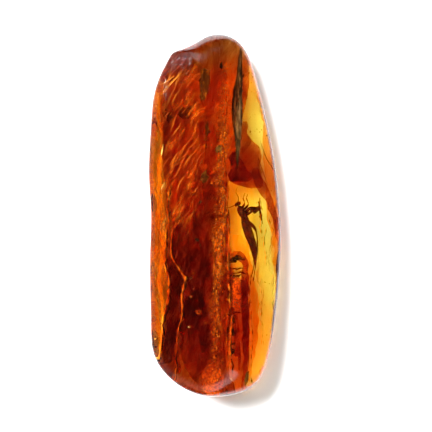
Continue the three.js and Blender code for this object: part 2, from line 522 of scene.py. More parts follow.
wave_mat = old_resin(
    "dark_wave_resin",
    colour=(0.72, 0.5, 0.55), density=360.0, light=(1.0, 0.85, 0.8), dark=(0.5, 0.4, 0.45),
    turn=4.0, across=900.0, along_flow=100.0,
)
buried(
    "dark_wave", wave_mat,
    [
        (-24.5, -8.9, -7.0, 0.5, 0.84), (-20.7, -8.4, -6.5, 0.45, 0.88),
        (-17.0, -7.7, -5.8, 0.45, 0.88), (-14.0, -7.2, -5.3, 0.45, 0.88),
        (-10.4, -7.6, -5.4, 0.45, 0.88), (-7.8, -7.8, -6.5, 0.5, 0.86),
        (-4.0, -7.4, -5.8, 0.5, 0.86), (-1.0, -6.8, -5.9, 0.6, 0.8),
    ],
    wander=0.5, seed=51.0, across=16, down=80,
)

# ---- the deep pool
# A heavier pool of the old resin, deep down along the middle of the foot half. It lies
# under the main flow and darkens it from below.

pool_mat = old_resin(
    "deep_pool_resin",
    colour=(0.86, 0.55, 0.4), density=170.0, light=(1.0, 0.9, 0.75), dark=(0.5, 0.3, 0.2),
    turn=-6.0, across=600.0, along_flow=120.0,
)
buried(
    "deep_resin_pool", pool_mat,
    [
        (-29.0, -3.0, 1.0, 0.1, 0.5), (-24.0, -5.6, 1.6, 0.0, 0.5), (-16.0, -5.6, 1.8, 0.0, 0.5),
        (-8.0, -6.4, 1.6, 0.0, 0.5), (0.0, -5.4, 1.4, 0.0, 0.42), (6.0, -4.0, 1.0, 0.1, 0.36),
        (11.0, -2.0, 0.4, 0.2, 0.3),
    ],
    wall=2.0, wander=0.6, seed=57.0,
)

# ---- the dark upright
# Beside the stacked layers the resin of the dark fold makes an upright band, bent over the
# top of them. It is one closed body, sealed in.

buried(
    "dark_upright", fold_mat,
    [
        (-27.4, 4.2, 5.2, 0.3, 0.7), (-22.0, 4.3, 5.5, 0.2, 0.8), (-15.6, 4.1, 5.5, 0.2, 0.8),
        (-11.0, 4.0, 5.4, 0.2, 0.8), (-8.2, 4.3, 5.4, 0.25, 0.7), (-7.0, 2.2, 4.9, 0.3, 0.6),
        (-6.3, 2.4, 4.2, 0.35, 0.5),
    ],
    wander=0.3, tip=9.0, seed=59.0, across=14, down=60,
)

# ---- cracks that flash
# Curled slivers of air, thinner than paper, where the resin split as it set. Light can't pass
# from resin into air at a slant, so each one throws back the light from the side like a mirror.

AIR_IN_RESIN = 1.0 / AMBER_IOR
CRACK_DEPTH = 0.84


def swept(bm, path, wides, highs, sides=8, lean=0.0):
    """A closed tube or ribbon through the points of a path. wides and highs are its half sizes
    at each point, and lean turns its width out of level, in degrees."""
    frames = []
    for i, point in enumerate(path):
        tangent = (path[min(i + 1, len(path) - 1)] - path[max(i - 1, 0)]).normalized()
        side = tangent.cross(Vector((0, 0, 1)))
        side = side.normalized() if side.length > 1e-6 else Vector((1, 0, 0))
        up = side.cross(tangent)
        turn = math.radians(lean)
        a = side * math.cos(turn) + up * math.sin(turn)
        b = up * math.cos(turn) - side * math.sin(turn)
        place = Matrix((a * wides[i], b * highs[i], tangent * wides[i])).transposed().to_4x4()
        place.translation = point
        frames.append(place)
    ring = bmesh.ops.create_circle(
        bm, cap_ends=True, segments=sides, radius=1.0, matrix=frames[0]
    )["verts"]
    edges = {e for v in ring for e in v.link_edges}
    for before, after in zip(frames, frames[1:]):
        made = bmesh.ops.extrude_edge_only(bm, edges=list(edges))["geom"]
        ring = {g for g in made if isinstance(g, bmesh.types.BMVert)}
        edges = {e for v in ring for e in v.link_edges if set(e.verts) <= ring}
        bmesh.ops.transform(bm, matrix=after @ before.inverted(), verts=list(ring))
    bmesh.ops.holes_fill(bm, edges=list(edges), sides=0)


def eased(points, steps):
    """A given line of points made smooth, as (share of the way, values) evenly spaced."""
    rows = [(i / (len(points) - 1), *p) for i, p in enumerate(points)]
    return [along(rows, i / steps) for i in range(steps + 1)]


def sliver(bm, points, wide, lean, steps, thin=0.012):
    """One crack: pointed at both ends, bent along its points (x, y, share)."""
    path = [within(x, y, CRACK_DEPTH * share) for x, y, share in eased(points, steps)]
    swell = [math.sin(math.pi * (0.04 + 0.92 * i / steps)) ** 0.7 for i in range(steps + 1)]
    wides = [wide * MM * s for s in swell]
    swept(bm, path, wides, [thin * MM * (0.3 + s) for s in swell], lean=lean)


CRACKS = [
    ([(-9.2, 19.4, 0.72), (-7.7, 21.1, 0.78), (-5.4, 23.5, 0.84)], 0.24, 50),
    ([(-9.3, 20.9, 0.7), (-8.0, 21.8, 0.76), (-6.6, 22.9, 0.8)], 0.16, 50),
    ([(-7.2, 13.8, 0.72), (-6.8, 15.2, 0.74), (-6.2, 16.7, 0.76)], 0.16, 50),
    ([(-9.0, 17.2, 0.72), (-8.5, 18.0, 0.74), (-7.8, 18.5, 0.76)], 0.12, 48),
    ([(-6.4, 9.2, 0.7), (-5.2, 11.0, 0.74), (-3.6, 12.9, 0.78)], 0.1, 48),
    ([(-8.4, 23.1, 0.8), (-8.0, 24.0, 0.85), (-7.4, 24.5, 0.9)], 0.2, 48),
    ([(-9.2, 22.3, 0.6), (-9.9, 19.5, 0.62), (-9.8, 17.0, 0.6), (-9.4, 14.0, 0.55)], 0.3, 55),
    ([(-7.0, 12.8, 0.9), (-6.4, 13.8, 0.92), (-5.6, 14.7, 0.94)], 0.16, 48),
    ([(-4.5, 10.8, 0.9), (-3.7, 11.4, 0.92), (-2.7, 12.5, 0.94)], 0.14, 46),
    ([(-7.3, 6.4, 0.88), (-6.8, 9.0, 0.9), (-5.9, 10.5, 0.92)], 0.16, 50),
    ([(-5.3, 8.0, 0.9), (-4.6, 8.8, 0.92), (-3.8, 10.2, 0.94)], 0.12, 48),
    ([(-8.9, 9.6, 0.8), (-8.7, 10.6, 0.84), (-8.5, 11.6, 0.86)], 0.16, 50),
    ([(-8.3, 3.4, 0.8), (-8.2, 0.2, 0.8), (-8.1, -3.5, 0.8)], 0.14, 55),
    ([(-7.5, 2.6, 0.85), (-7.3, -0.4, 0.85), (-7.2, -3.4, 0.85)], 0.12, 52),
    ([(-6.6, -0.9, 0.9), (-6.1, -0.5, 0.91), (-5.4, 0.3, 0.93)], 0.11, 46),
    ([(-5.9, 0.7, 0.93), (-5.4, 0.9, 0.94), (-4.9, 1.4, 0.95)], 0.16, 44),
    ([(-6.3, 3.8, 0.9), (-5.8, 5.2, 0.92), (-4.9, 6.4, 0.93)], 0.13, 48),
    ([(-4.5, 4.0, 0.9), (-4.3, 4.9, 0.92), (-4.0, 5.7, 0.93)], 0.1, 46),
    ([(-0.3, 6.4, 0.93), (0.0, 5.3, 0.93), (0.4, 4.0, 0.93)], 0.22, 42),
    ([(-8.1, -1.6, 0.8), (-8.3, -7.6, 0.82), (-7.8, -10.3, 0.84), (-7.7, -14.2, 0.84),
      (-8.6, -17.6, 0.8), (-9.1, -22.4, 0.75)], 0.17, 54),
    ([(-7.4, -1.8, 0.86), (-7.5, -5.6, 0.88), (-6.7, -8.6, 0.9), (-5.4, -10.6, 0.9),
      (-5.0, -12.4, 0.9)], 0.12, 50),
    ([(-5.2, -13.2, 0.9), (-5.4, -16.6, 0.9), (-6.1, -19.4, 0.9), (-6.4, -22.0, 0.88)], 0.15, 50),
    ([(-6.4, -22.4, 0.88), (-6.5, -25.0, 0.88), (-6.5, -27.2, 0.88)], 0.06, 50),
    ([(7.4, 12.2, 0.8), (8.4, 9.4, 0.8), (9.5, 7.4, 0.8), (10.2, 4.6, 0.75)], 0.14, -40),
    ([(6.9, 9.8, 0.7), (7.7, 7.5, 0.7), (8.7, 4.7, 0.7)], 0.12, -40),
    ([(7.3, -4.0, 0.5), (7.0, -8.0, 0.5), (7.2, -13.0, 0.5), (7.4, -18.0, 0.5)], 0.1, 40),
    ([(9.7, -9.0, 0.6), (9.5, -12.0, 0.6), (9.3, -16.0, 0.6)], 0.1, -35),
]
FINE_CRACKS = 110

chance = random.Random(7)
bm = bmesh.new()
for points, wide, lean in CRACKS:
    sliver(bm, points, wide, lean, steps=6 * len(points))
for _ in range(FINE_CRACKS):
    x, y = chance.uniform(-8.6, -2.4), chance.uniform(-3.0, 24.5)
    length = chance.uniform(0.7, 3.4)
    heading = math.radians(chance.gauss(60.0, 9.0))
    step_x, step_y = length * math.cos(heading) / 2, length * math.sin(heading) / 2
    share = chance.uniform(0.66, 0.86)
    curl = chance.uniform(0.05, 0.3)
    bent = [
        (x - step_x, y - step_y, share - 0.03), (x - curl * 0.5, y + curl * 0.3, share),
        (x + step_x, y + step_y, share + 0.02),
    ]
    sliver(bm, bent, chance.uniform(0.04, 0.1), chance.uniform(40.0, 54.0), steps=7)
air_mat, _, _ = clear_resin(
    "air_in_resin", colour=(1.0, 1.0, 1.0), density=0.0, ior=AIR_IN_RESIN, roughness=0.03
)
seal_up(bm, "air_cracks", air_mat)

# ---- the bubbles
# Air bubbles caught in the sticky resin: a crowded string of very small ones under the ridge
# and down the left side, and a few larger ones near the foot, slightly drawn out by the flow.


def bubble(bm, spot, radius, rings=2, draw=1.15):
    """One bubble, a little longer than it is wide."""
    made = bmesh.ops.create_icosphere(bm, subdivisions=rings, radius=radius)["verts"]
    bmesh.ops.scale(bm, verts=made, vec=(1.0, draw, 0.9))
    bmesh.ops.translate(bm, verts=made, vec=spot)


RIDGE_BUBBLES = 240
EDGE_BUBBLES = 60
STRAY_BUBBLES = 90
chance = random.Random(21)
bm = bmesh.new()
for _ in range(RIDGE_BUBBLES):
    y = chance.uniform(-28.5, 21.0)
    x = 0.7 + 0.03 * y + chance.gauss(0.0, 0.5) + 0.25 * math.sin(y * 0.5)
    share = chance.uniform(0.42, 0.76)
    bubble(bm, within(x, y, share), chance.uniform(0.05, 0.17) * MM)
for _ in range(EDGE_BUBBLES):
    y = chance.uniform(-22.0, -6.0)
    bubble(bm, within(chance.gauss(-9.7, 0.3), y, chance.uniform(0.2, 0.6)),
           chance.uniform(0.06, 0.14) * MM, draw=1.5)
for _ in range(STRAY_BUBBLES):
    y = chance.uniform(-27.0, 26.0)
    x = chance.uniform(-7.5, 7.0)
    bubble(bm, within(x, y, chance.uniform(0.3, 0.95)), chance.uniform(0.04, 0.09) * MM)
seal_up(bm, "small_bubbles", air_mat)

bm = bmesh.new()
for x, y, share, radius in (
    (-2.7, -15.9, 0.72, 0.5), (-1.5, -17.7, 0.8, 0.24), (-4.2, -18.4, 0.86, 0.25),
    (-3.9, -13.4, 0.86, 0.22), (-3.6, -9.6, 0.78, 0.24), (0.6, 10.6, 0.9, 0.25),
):
    bubble(bm, within(x, y, share), radius * MM, rings=4, draw=1.05)
seal_up(bm, "large_bubbles", air_mat)

# ---- the splinter
# A long splinter of rotted wood, sunk in the resin nose down: dark brown with a paler, split
# middle, and its lower end torn into fibres that trail off below it.

GRAIN_SCALE = 2600.0
GRAIN_LENGTHWISE = 0.12
SEALED_IOR = 1.12


def toned(tree, value, *tones):
    """Colours by a pattern's strength. Each tone is where it holds and its colour."""
    ramp = step(tree, "ValToRGB", {"Fac": value})
    stops = ramp.color_ramp.elements
    for stop, (at, colour) in zip(stops, (tones[0], tones[-1])):
        stop.position = at
        stop.color = (*colour, 1.0)
    for at, colour in tones[1:-1]:
        stops.new(at).color = (*colour, 1.0)
    return ramp.outputs["Color"]


def debris_material(name, dark, middle, pale):
    """Rotted plant matter: three browns drawn out along the fibres, rough, with raised grain.
    Resin wets it, so it shines far less than it would in air."""
    mat, tree, shader, _ = new_material(name)
    pull = (GRAIN_SCALE, GRAIN_SCALE * GRAIN_LENGTHWISE, GRAIN_SCALE)
    pulled = step(tree, "Mapping", {"Vector": on_the_piece(tree), "Scale": pull})
    fibres = mottling(tree, 1.0, 6.0, pulled.outputs[0], 0.65)
    fill(tree, shader, {
        "Base Color": toned(tree, fibres, (0.4, dark), (0.5, middle), (0.62, pale)),
        "IOR": SEALED_IOR,
        "Roughness": ranged(tree, fibres, low=0.45, high=0.8),
        "Normal": raised(tree, fibres, 0.7, 0.2 * MM),
    })
    return mat


SPLINTER = [
    (4.05, 27.4, 0.76, 0.12), (4.0, 25.0, 0.78, 0.42), (3.85, 22.4, 0.8, 0.66),
    (3.6, 19.6, 0.8, 0.92), (3.5, 17.0, 0.8, 1.05), (3.55, 14.4, 0.8, 0.85),
    (3.65, 12.0, 0.8, 0.55), (3.6, 9.6, 0.8, 0.3), (3.55, 7.4, 0.8, 0.06),
]
SPLINTER_STEPS = 60
SPLINTER_THICK = 0.3
FIBRES = 30

wood_mat = debris_material(
    "rotted_wood", dark=(0.012, 0.006, 0.003), middle=(0.06, 0.026, 0.012), pale=(0.26, 0.13, 0.07)
)
chance = random.Random(3)
bm = bmesh.new()
rows = eased(SPLINTER, SPLINTER_STEPS)
path, wides, highs = [], [], []
for x, y, share, wide in rows:
    ragged = 1.0 + 0.25 * noise.noise(Vector((y * 1.1, 3.0, 0.0)))
    path.append(within(x + 0.1 * noise.noise(Vector((y * 0.6, 0.0, 5.0))), y, share))
    wides.append(max(wide * ragged, 0.02) * MM)
    highs.append(max(wide * ragged * SPLINTER_THICK, 0.015) * MM)
swept(bm, path, wides, highs, sides=14)
for v in bm.verts:
    v.co.z += 0.1 * MM * noise.noise(v.co * 2600.0)
    v.co.x += 0.07 * MM * noise.noise(v.co * 1900.0 + Vector((9.0, 0.0, 0.0)))
for _ in range(FIBRES):
    top = chance.uniform(9.5, 19.0)
    reach = chance.uniform(2.0, 5.0)
    side = chance.choice((-1.0, 1.0))
    x0 = 3.62 + side * chance.uniform(0.15, 0.55) * (top - 7.0) / 10.0
    x1 = 3.55 + chance.gauss(0.0, 0.22)
    bend = ((x0 + x1) / 2 + side * 0.1, top - reach / 2, 0.81)
    line = eased([(x0, top, 0.81), bend, (x1, top - reach, 0.8)], 8)
    thick = chance.uniform(0.025, 0.055) * MM
    swept(bm, [within(*p) for p in line], [thick] * 9, [thick] * 9, sides=5)
seal_up(bm, "wood_splinter", wood_mat)

# ---- the flakes
# Scraps of leaf and bark that fell in the fresh resin: a long olive flake with a point, a
# curled leaf scrap with a torn edge, and softer brown blots deeper down.


def flake(bm, outline, share, thick=0.05, tilt=0.0, ruffle=0.1, steps=5, seed=0.0):
    """A thin torn scrap: its outline in x, y from above, filled, crumpled, then given a
    thickness."""
    middle_x = sum(p[0] for p in outline) / len(outline)
    start = len(bm.verts)
    whole = bm.faces.new([bm.verts.new((x, y, 0.0)) for x, y in outline])
    faces = bmesh.ops.poke(bm, faces=[whole])["faces"]
    edges = list({e for f in faces for e in f.edges})
    bmesh.ops.subdivide_edges(bm, edges=edges, cuts=steps, use_grid_fill=True, fractal=0.0)
    bm.verts.ensure_lookup_table()
    fresh = bm.verts[start:]
    for v in fresh:
        x, y = v.co.x, v.co.y
        x += 0.12 * noise.noise(Vector((x * 2.3, y * 2.3, seed)))
        y += 0.12 * noise.noise(Vector((x * 2.3, y * 2.3, seed + 7.0)))
        v.co = within(x, y, share)
        v.co.z += MM * (tilt * (x - middle_x) + ruffle * noise.noise(Vector((x, y, seed + 3.0))))
    own = set(fresh)
    faces = [f for f in bm.faces if own.issuperset(f.verts)]
    bmesh.ops.solidify(bm, geom=faces, thickness=thick * MM)


flake_mat = debris_material(
    "olive_flake", dark=(0.07, 0.024, 0.005), middle=(0.12, 0.045, 0.01), pale=(0.19, 0.075, 0.018)
)
FLAKES = [
    ([(-2.65, 23.7), (-1.9, 23.95), (-1.05, 23.5), (-1.1, 21.4), (-1.55, 19.9), (-2.2, 18.4),
      (-2.5, 19.6), (-2.7, 21.6)], 0.74, 0.1),
    ([(-1.15, 7.5), (-1.7, 7.0), (-2.35, 6.2), (-2.4, 5.5), (-1.9, 5.05), (-1.3, 5.3),
      (-0.95, 6.0), (-1.25, 6.6)], 0.78, -0.2),
    ([(-0.2, 10.6), (0.25, 11.35), (0.9, 11.2), (1.15, 10.5), (0.6, 10.2), (0.1, 9.85)], 0.9, 0.0),
    ([(-6.3, 16.6), (-5.6, 17.9), (-4.7, 17.6), (-3.4, 18.3), (-3.6, 16.9), (-4.4, 15.9),
      (-5.4, 15.8)], 0.42, 0.1),
    ([(-8.7, 16.9), (-8.1, 17.5), (-7.3, 17.0), (-6.9, 16.0), (-7.6, 15.4), (-8.4, 15.9)], 0.42, 0.1),
    ([(-1.8, 15.4), (-1.4, 14.8), (-1.2, 13.4), (-1.4, 12.2), (-1.7, 12.0), (-1.8, 13.6)], 0.7, 0.1),
    ([(5.4, -25.7), (4.9, -26.0), (4.6, -26.9), (4.9, -27.8), (5.3, -27.2), (5.35, -26.5)], 0.8, 0.1),
]
bm = bmesh.new()
for number, (outline, share, tilt) in enumerate(FLAKES):
    flake(bm, outline, share, tilt=tilt, seed=float(number) * 11.0)
seal_up(bm, "flakes", flake_mat)

# ---- cloudy veils
# Thin sheets where the resin is clouded by fine foam. They aren't clear, so they catch the light
# and show orange against the dark resin: in feathers, in long strings, or in grainy patches.


def cloudy(name, deep, bright, most=0.8, grain=5200.0, **flow):
    """Clouded resin: patchy orange, see-through between the streaks and towards the edges."""
    mat, tree, shader, _ = new_material(name)
    streaks = marks(tree, **flow)
    foam = mottling(tree, grain, 3.0)
    edge = step(tree, "Attribute", {})
    edge.attribute_name = "fade"
    faded = step(tree, "Math", {0: streaks, 1: edge.outputs["Fac"]}, "MULTIPLY")
    thin = step(tree, "Math", {0: faded.outputs[0], 1: most}, "MULTIPLY")
    fill(tree, shader, {
        "Base Color": blended(tree, ranged(tree, foam, 0.38, 0.64), deep, bright),
        "Roughness": 0.55,
        "IOR": 1.1,
        "Alpha": thin.outputs[0],
        "Normal": raised(tree, foam, 0.8, 0.15 * MM),
    })
    return mat


VEIL = 0.012


def veil(name, rows, material, **shape):
    """A cloudy sheet. rows are (y, left x, right x, how high it lies)."""
    thin_rows = [(y, left, right, share - VEIL, share + VEIL) for y, left, right, share in rows]
    buried(name, material, thin_rows, **shape)


feather_mat = cloudy(
    "feather_cloud", (0.32, 0.035, 0.003), (0.75, 0.14, 0.012), turn=33.0, across=2700.0,
    along_flow=190.0, curl=0.9, start=0.55, stop=0.64,
)
veil(
    "feathers",
    [
        (-6.0, -8.4, -5.0, 0.8), (0.0, -8.8, -3.0, 0.82), (6.0, -9.2, -1.6, 0.84),
        (12.0, -9.4, -1.4, 0.84), (18.0, -9.2, -1.6, 0.85), (24.0, -7.6, -2.4, 0.86),
        (26.4, -6.0, -3.4, 0.86),
    ],
    feather_mat,
    ripple=0.7, seed=61.0,
)
string_mat = cloudy(
    "string_cloud", (0.22, 0.02, 0.002), (1.0, 0.26, 0.02), grain=3000.0, turn=2.0, across=5200.0,
    along_flow=3000.0, curl=0.8, start=0.53, stop=0.62,
)
veil(
    "ridge_string",
    [
        (-29.2, -0.4, 1.4, 0.8), (-24.0, -1.4, 1.0, 0.8), (-19.0, -0.6, 1.6, 0.8),
        (-14.0, -1.2, 0.9, 0.8), (-9.0, -0.3, 1.6, 0.8), (-4.0, -0.9, 1.1, 0.8),
        (1.0, 0.0, 1.9, 0.8), (6.0, -0.8, 1.3, 0.8), (11.0, 0.2, 2.5, 0.8), (16.0, -0.9, 2.2, 0.8),
        (20.0, 0.2, 2.8, 0.8), (25.0, -0.8, 2.0, 0.8),
    ],
    string_mat,
    wander=0.9, ripple=0.5, seed=67.0,
)
patch_mat = cloudy(
    "patch_cloud", (0.28, 0.018, 0.002), (1.0, 0.16, 0.012), grain=3000.0, turn=10.0, across=520.0,
    along_flow=320.0, curl=1.2, start=0.36, stop=0.46, most=0.9,
)
veil(
    "foot_patch",
    [
        (-29.4, -1.6, 1.4, 0.86), (-27.6, -2.9, 1.9, 0.88), (-25.6, -2.2, 1.2, 0.88),
        (-23.6, -0.6, 0.8, 0.88),
    ],
    patch_mat,
    seed=71.0, across=18, down=30,
)
veil(
    "layer_patch",
    [
        (-16.0, 2.6, 4.2, 0.7), (-13.0, 2.2, 4.4, 0.72), (-11.2, 2.3, 4.3, 0.72),
        (-10.4, 2.6, 4.0, 0.72),
    ],
    patch_mat,
    seed=73.0, across=18, down=30,
)
gold_mat = cloudy(
    "gold_cloud", (0.62, 0.12, 0.006), (1.0, 0.42, 0.04), turn=-3.0, across=1300.0,
    along_flow=110.0, curl=0.8, start=0.4, stop=0.58,
)
veil(
    "left_edge_gold",
    [
        (-25.0, -9.8, -8.4, 0.6), (-16.0, -10.6, -8.2, 0.62), (-6.0, -10.6, -8.0, 0.64),
        (4.0, -10.6, -8.6, 0.62), (14.0, -10.5, -8.4, 0.64), (22.0, -9.6, -7.6, 0.66),
        (25.6, -8.2, -6.6, 0.66),
    ],
    gold_mat,
    ripple=0.6, seed=77.0, across=20,
)
veil(
    "right_side_gold",
    [
        (-20.0, 6.6, 8.4, 0.6), (-16.0, 5.6, 9.8, 0.6), (-8.0, 5.4, 10.4, 0.62),
        (2.0, 5.8, 10.4, 0.62), (10.0, 6.6, 9.4, 0.64), (18.0, 6.4, 7.6, 0.64),
        (24.0, 5.2, 6.2, 0.64),
    ],
    cloudy(
        "amber_streaks", (0.5, 0.08, 0.004), (0.85, 0.26, 0.015), turn=4.0, across=900.0,
        along_flow=80.0, curl=1.6, start=0.55, stop=0.68, most=0.5,
    ),
    ripple=0.6, seed=83.0, across=24,
)

# ---- the stacked layers
# Below the clear window the old flow shows edge on: a stack of thin dark layers, one over the
# other like pages, each a hair thick.

LAYERS = [
    (-7.3, 2.0, 4.9, 0.34, 0.9, -0.45), (-7.9, 2.1, 2.9, 0.2, 0.7, -0.1),
    (-9.2, 2.2, 4.5, 0.13, 0.8, 0.2), (-9.8, 2.9, 4.9, 0.1, 0.8, -0.1),
    (-10.3, 2.1, 4.2, 0.16, 0.7, 0.1), (-11.1, 2.3, 4.7, 0.08, 0.7, -0.2),
    (-13.9, 2.3, 4.4, 0.16, 0.7, 0.25), (-14.9, 2.8, 4.6, 0.09, 0.6, 0.1),
    (-16.3, 2.2, 4.0, 0.12, 0.6, -0.2),
]
LAYER_STEPS = 24
bm = bmesh.new()
for y, left, right, thick, tall, sag in LAYERS:
    line, wides, highs = [], [], []
    for i in range(LAYER_STEPS + 1):
        t = i / LAYER_STEPS
        x = left + (right - left) * t
        wave = 0.22 * noise.noise(Vector((x * 1.3, y, 4.0)))
        bent = y + wave + sag * (2 * t - 1) ** 2
        line.append(within(x, bent, 0.6 + 0.06 * math.sin(3.0 * t + y)))
        body = max(0.12, math.sin(math.pi * (0.04 + 0.92 * t)) ** 0.6)
        body *= 1.0 + 0.9 * noise.noise(Vector((x * 2.1, y * 5.0, 2.0)))
        wides.append(thick * MM * body)
        highs.append(tall * MM * body)
    swept(bm, line, wides, highs, sides=12)
bmesh.ops.recalc_face_normals(bm, faces=bm.faces)
layer_mat = debris_material(
    "layer_film", dark=(0.02, 0.004, 0.001), middle=(0.07, 0.014, 0.002), pale=(0.2, 0.05, 0.006)
)
sealed(finished(bm, "stacked_layers"), layer_mat)

# ---- long strings
# Where one flow ran over the next, its edge shows as a long thin string: cloudy and bright on
# one side, dark on the other. Cloudy grains follow the one under the ridge, hundreds of them.

STRINGS = [
    ([(2.0, 4.8), (1.7, 1.0), (2.0, -3.0), (1.8, -8.0), (2.1, -14.0), (1.9, -20.0), (2.2, -27.0)],
     0.07, 0.2),
    ([(1.3, 24.0), (1.6, 18.0), (1.1, 11.0), (1.5, 5.0), (1.0, 0.0), (1.3, -6.0)], 0.09, 0.2),
    ([(0.2, -3.0), (-0.1, -9.0), (0.3, -15.0), (-0.2, -21.0), (0.2, -27.5)], 0.09, 0.2),
    ([(-1.9, 20.0), (-1.6, 12.0), (-2.0, 5.0), (-1.7, -1.0)], 0.06, 0.1),
    ([(-8.0, -1.7), (-8.3, -7.8), (-7.75, -10.3), (-7.7, -12.4), (-8.0, -15.1), (-8.6, -17.2),
      (-9.0, -22.4), (-9.2, -24.4)], 0.16, 0.55),
    ([(-6.9, -2.0), (-7.3, -5.8), (-6.7, -7.8), (-5.5, -9.5), (-5.0, -10.8), (-5.5, -13.3),
      (-5.5, -16.6), (-6.1, -18.9), (-6.3, -20.9)], 0.13, 0.55),
    ([(-6.4, -21.4), (-6.5, -24.0), (-6.4, -27.5)], 0.06, 0.5),
    ([(-7.4, 5.0), (-7.9, 1.5), (-7.6, -1.5)], 0.09, 0.5),
    ([(2.6, -15.7), (2.5, -20.0), (2.7, -26.0)], 0.06, 0.5),
    ([(5.6, -9.0), (5.4, -14.0), (5.8, -20.0), (5.5, -26.0)], 0.07, 0.2),
    ([(7.4, -10.0), (7.3, -16.0), (7.6, -22.0)], 0.05, 0.1),
    ([(8.3, -2.0), (7.9, -4.6), (8.2, -6.6), (8.1, -8.8)], 0.06, 0.3),
    ([(7.2, 2.6), (7.5, 0.0), (7.3, -2.4), (7.7, -4.4)], 0.07, 0.3),
    ([(9.2, 1.6), (8.6, -0.8), (9.3, -2.6), (8.9, -4.2)], 0.05, 0.2),
]
STRING_STEPS = 90
CLOUDY_GRAINS = 900
chance = random.Random(29)
cloud_string = bmesh.new()
dark_string = bmesh.new()
for number, (points, thick, whole) in enumerate(STRINGS):
    for bm, aside, share, size in ((cloud_string, 0.0, 0.78, 1.0), (dark_string, 0.22, 0.76, 1.3)):
        line, sizes = [], []
        for i, (x, y) in enumerate(eased(points, STRING_STEPS)):
            x += aside + 0.16 * noise.noise(Vector((y * 0.9, number, aside)))
            line.append(within(x, y, share))
            end = math.sin(math.pi * (0.02 + 0.96 * i / STRING_STEPS)) ** 0.5
            rough = whole + noise.noise(Vector((y * 1.3, number * 7.0, aside)))
            uneven = 0.1 + 1.7 * max(0.0, rough)
            sizes.append(thick * size * MM * end * uneven)
        swept(bm, line, sizes, [0.6 * s for s in sizes], sides=8)
bmesh.ops.recalc_face_normals(cloud_string, faces=cloud_string.faces)
bmesh.ops.recalc_face_normals(dark_string, faces=dark_string.faces)
for number in range(CLOUDY_GRAINS):
    y = chance.uniform(-28.0, 25.0)
    x = 0.75 + 0.035 * y + chance.gauss(0.0, 0.42)
    radius = (0.03 + 0.08 * chance.random() ** 2) * MM
    grain = bmesh.ops.create_icosphere(cloud_string, subdivisions=1, radius=radius)["verts"]
    bmesh.ops.scale(cloud_string, verts=grain, vec=(0.8, chance.uniform(0.8, 2.2), 0.6))
    bmesh.ops.translate(cloud_string, verts=grain, vec=within(x, y, chance.uniform(0.82, 0.94)))
bright_mat = debris_material(
    "bright_string", dark=(0.25, 0.02, 0.002), middle=(0.85, 0.14, 0.01), pale=(1.0, 0.45, 0.06)
)
sealed(finished(cloud_string, "bright_strings"), bright_mat)
sealed(finished(dark_string, "dark_strings"), layer_mat)

# ---- crumbs
# Dust, spores and bits of bark: many along the ridge and in the clear resin at the upper right,
# a few anywhere.

CRUMBS = [
    (0.9, 24.4, 0.85, 0.36), (-2.4, 2.0, 0.85, 0.2), (-3.0, -4.1, 0.85, 0.26),
    (-2.5, -5.0, 0.85, 0.18), (-3.9, -10.3, 0.85, 0.24), (-3.5, -12.2, 0.85, 0.16),
    (5.9, -27.0, 0.75, 0.16), (4.6, 23.0, 0.75, 0.2),
]


def crumb(bm, spot, radius, seed, rings=2):
    """A rough grain, longer one way than the other."""
    made = bmesh.ops.create_icosphere(bm, subdivisions=rings, radius=radius)["verts"]
    for v in made:
        v.co *= 1.0 + 0.55 * noise.noise(v.co / radius * 1.3 + Vector((seed, 0.0, 0.0)))
        v.co.z *= 0.45
    turn = Matrix.Rotation(seed * 1.7, 4, "Z")
    bmesh.ops.scale(bm, verts=made, vec=(0.75, 1.35, 1.0))
    bmesh.ops.transform(bm, matrix=turn, verts=made)
    bmesh.ops.translate(bm, verts=made, vec=spot)


LOOSE_CRUMBS = 150
chance = random.Random(13)
bm = bmesh.new()
for number, (x, y, share, radius) in enumerate(CRUMBS):
    crumb(bm, within(x, y, share), radius * MM, number * 3.1, rings=4)
for number in range(LOOSE_CRUMBS):
    where_to = chance.random()
    if where_to < 0.4:
        x, y = chance.gauss(0.8, 0.6), chance.uniform(-27.0, 22.0)
    elif where_to < 0.7:
        y = chance.uniform(11.0, 24.0)
        x = chance.uniform(5.4, 9.4 - 0.17 * (y - 10.0))
    elif where_to < 0.85:
        x, y = chance.uniform(6.0, 10.0), chance.uniform(-20.0, 9.0)
    else:
        x, y = chance.uniform(-9.0, 2.0), chance.uniform(-26.0, 26.0)
    radius = 0.035 + 0.09 * chance.random() ** 3
    crumb(bm, within(x, y, chance.uniform(0.55, 0.93)), radius * MM, number * 0.7)
seal_up(bm, "crumbs", wood_mat)

# ---- the insect
# A slender gnat-like fly, caught in the clear side with its head up: dark brown horny skin,
# glossy, with the wings folded back, two legs stretched up, two out sideways and two trailing.

INSECT_HIGH = 0.6
chitin_mat, chitin_tree, chitin_shader, _ = new_material("dark_chitin")
mottle = mottling(chitin_tree, 2400.0, 5.0)
pores = step(chitin_tree, "TexVoronoi", {"Vector": on_the_piece(chitin_tree), "Scale": 14000.0})
fill(chitin_tree, chitin_shader, {
    "Base Color": toned(
        chitin_tree, mottle, (0.38, (0.03, 0.003, 0.001)), (0.68, (0.13, 0.012, 0.002))
    ),
    "IOR": 1.2,
    "Roughness": ranged(chitin_tree, mottle, low=0.22, high=0.5),
    "Normal": raised(chitin_tree, pores.outputs["Distance"], 0.35, 0.03 * MM),
})

